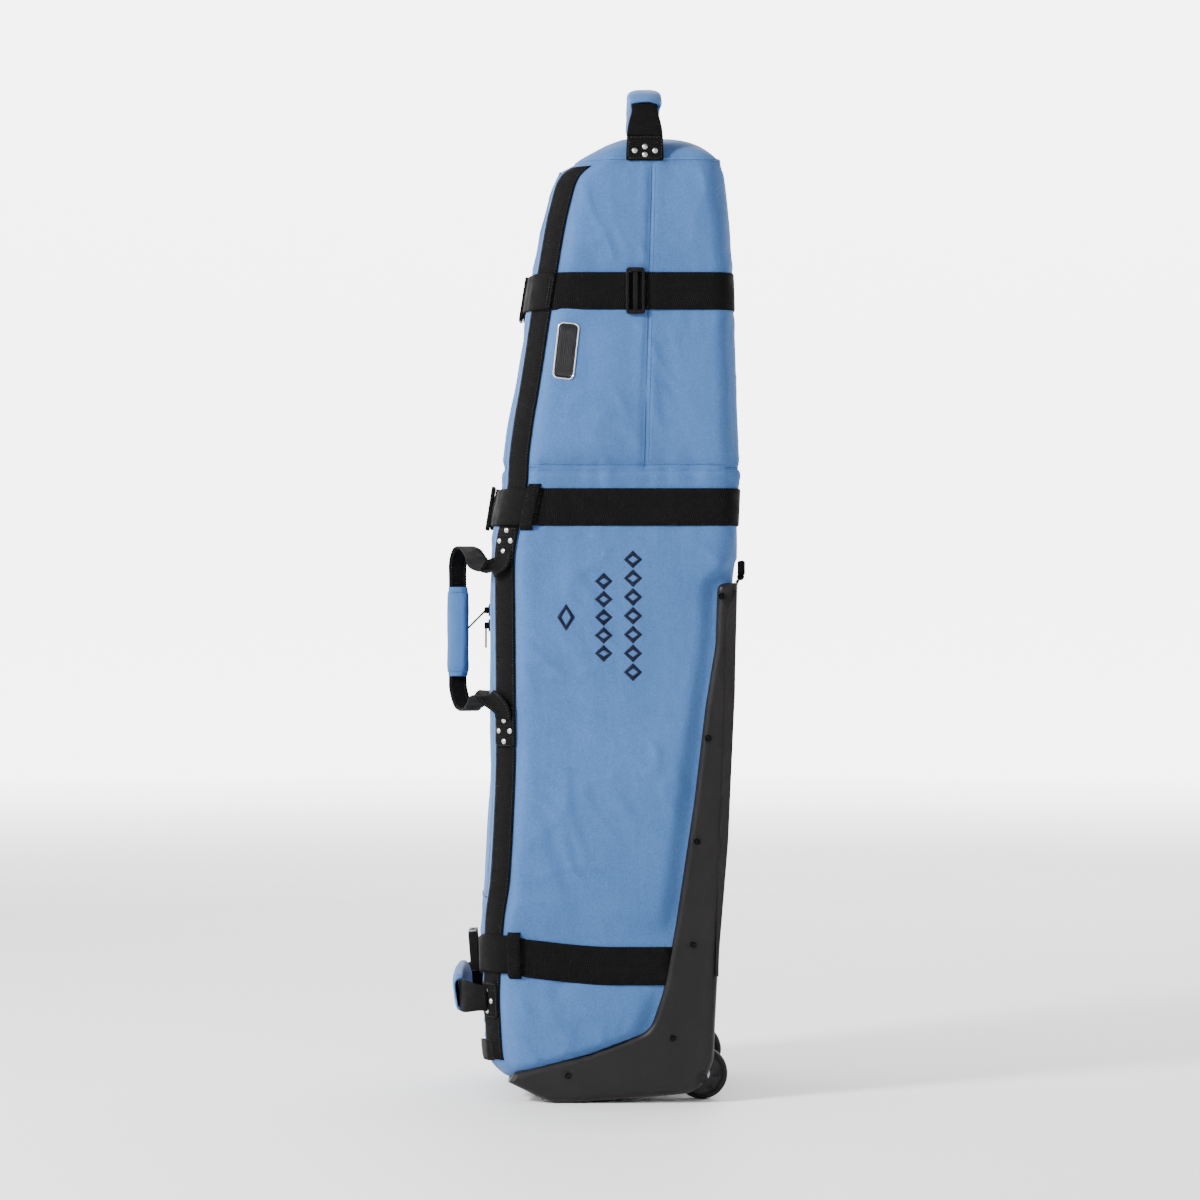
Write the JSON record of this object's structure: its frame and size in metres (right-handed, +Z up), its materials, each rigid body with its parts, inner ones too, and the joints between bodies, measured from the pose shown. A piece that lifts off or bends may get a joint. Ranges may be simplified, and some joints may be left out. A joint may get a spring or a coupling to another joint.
{
  "type": "golf travel case",
  "caption": "Standing padded golf travel case with a two-way front zip, compression straps, three carry handles and a wheeled moulded base and back.",
  "frame": {"origin": "on the floor, under the middle of the bounding box", "axes": "+Z up, -Y towards the zipped front, +Y towards the wheeled back, X across the width"},
  "size_m": [0.3784, 0.4105, 1.368],
  "materials": {
    "padded_fabric": "matte",
    "grip_fabric": "matte",
    "webbing": "matte",
    "moulding": "satin",
    "buckle_plastic": "satin",
    "foot_rubber": "matte",
    "nickel": "polished",
    "dark_screw": "satin",
    "axle_steel": "satin",
    "bearing_steel": "satin",
    "wheel_plastic": "satin",
    "wheel_tread": "matte",
    "board": "matte",
    "foam": "matte",
    "zip_tape": "matte",
    "zip_teeth": "satin",
    "zip_metal": "satin",
    "badge_chrome": "polished",
    "badge_face": "satin"
  },
  "bodies": {
    "case": {"bag_shell": "padded_fabric", "base_shell": "moulding", "base_screws": "dark_screw", "backing_washers": "nickel", "back_board": "board", "base_board": "board", "top_foam_pad": "foam", "wheel_axles": "axle_steel", "side_trim_left": "webbing", "side_trim_right": "webbing", "front_feet": "foot_rubber", "upper_strap_rear": "webbing", "middle_strap_rear": "webbing", "lower_strap_left": "webbing", "lower_strap_right": "webbing", "lower_buckle_socket": "buckle_plastic", "strap_tri_glide": "buckle_plastic", "strap_keepers": "webbing", "carry_handle_tabs": "webbing", "bottom_handle_tabs": "webbing", "top_handle_tabs": "webbing", "handle_rivets": "nickel", "badge_bezel": "badge_chrome", "badge_plate": "badge_face", "towing_strap": "webbing"},
    "wheel_left": {"wheel_tyre_left": "wheel_tread", "wheel_core_left": "wheel_plastic", "wheel_bearings_left": "bearing_steel"},
    "wheel_right": {"wheel_tyre_right": "wheel_tread", "wheel_core_right": "wheel_plastic", "wheel_bearings_right": "bearing_steel"},
    "front_left": {"front_panel_left": "padded_fabric", "zip_tape_left": "zip_tape", "zip_teeth_left": "zip_teeth", "upper_strap_left": "webbing", "middle_strap_left": "webbing", "upper_buckle_base": "buckle_plastic", "middle_buckle_base": "buckle_plastic", "carry_loop_left": "webbing", "carry_grip_left": "grip_fabric"},
    "front_right": {"front_panel_right": "padded_fabric", "zip_tape_right": "zip_tape", "zip_teeth_right": "zip_teeth", "upper_strap_right": "webbing", "middle_strap_right": "webbing", "upper_buckle_latch": "buckle_plastic", "middle_buckle_latch": "buckle_plastic", "carry_loop_right": "webbing", "carry_grip_right": "grip_fabric"},
    "upper_slider": {"upper_zip_slider": "zip_metal"},
    "lower_slider": {"lower_zip_slider": "zip_metal"},
    "upper_pull": {"upper_zip_pull": "zip_metal"},
    "lower_pull": {"lower_zip_pull": "zip_metal"},
    "lower_buckle": {"lower_buckle_plug": "buckle_plastic"},
    "top_handle": {"top_handle_webbing": "webbing", "top_handle_sleeve": "grip_fabric"},
    "bottom_handle": {"bottom_handle_webbing": "webbing", "bottom_handle_sleeve": "grip_fabric"},
    "towing_clip": {"towing_clip": "buckle_plastic"}
  },
  "joints": [
    {"name": "wheel_left_spin", "type": "hinge", "parent": "case", "child": "wheel_left", "pos_m": [-0.13, 0.1407, 0.035], "axis": [1, 0, 0], "continuous": true},
    {"name": "wheel_right_spin", "type": "hinge", "parent": "case", "child": "wheel_right", "pos_m": [0.13, 0.1407, 0.035], "axis": [1, 0, 0], "continuous": true},
    {"name": "front_left_open", "type": "hinge", "parent": "case", "child": "front_left", "pos_m": [-0.141, -0.1455, 0.735], "axis": [0, -0.0995, -0.995], "range_deg": [0, 100]},
    {"name": "front_right_open", "type": "hinge", "parent": "case", "child": "front_right", "pos_m": [0.141, -0.1455, 0.735], "axis": [0, 0.0995, 0.995], "range_deg": [0, 100]},
    {"name": "upper_slider_run", "type": "slide", "parent": "front_right", "child": "upper_slider", "axis": [0, 0, 1], "range_m": [0, 0.06]},
    {"name": "lower_slider_run", "type": "slide", "parent": "front_right", "child": "lower_slider", "axis": [0, 0, -1], "range_m": [0, 0.15]},
    {"name": "upper_pull_swing", "type": "hinge", "parent": "upper_slider", "child": "upper_pull", "pos_m": [0, -0.1534, 0.657], "axis": [-1, 0, 0], "range_deg": [-15, 0]},
    {"name": "lower_pull_swing", "type": "hinge", "parent": "lower_slider", "child": "lower_pull", "pos_m": [0, -0.1534, 0.636], "axis": [-1, 0, 0], "range_deg": [0, 40]},
    {"name": "lower_buckle_release", "type": "slide", "parent": "case", "child": "lower_buckle", "axis": [1, 0, 0], "range_m": [0, 0.03]},
    {"name": "top_handle_swing", "type": "hinge", "parent": "case", "child": "top_handle", "pos_m": [0, 0.064, 1.29], "axis": [1, 0, 0], "range_deg": [-40, 40]},
    {"name": "bottom_handle_swing", "type": "hinge", "parent": "case", "child": "bottom_handle", "pos_m": [0, -0.151, 0.137], "axis": [1, 0, 0], "range_deg": [0, 30]},
    {"name": "towing_clip_swing", "type": "hinge", "parent": "case", "child": "towing_clip", "pos_m": [0, 0.1985, 0.703], "axis": [-1, 0, 0], "range_deg": [0, 90]}
  ],
  "couplings": [
    {"joint": "front_right_open", "follows": "front_left_open", "ratio": 1}
  ]
}
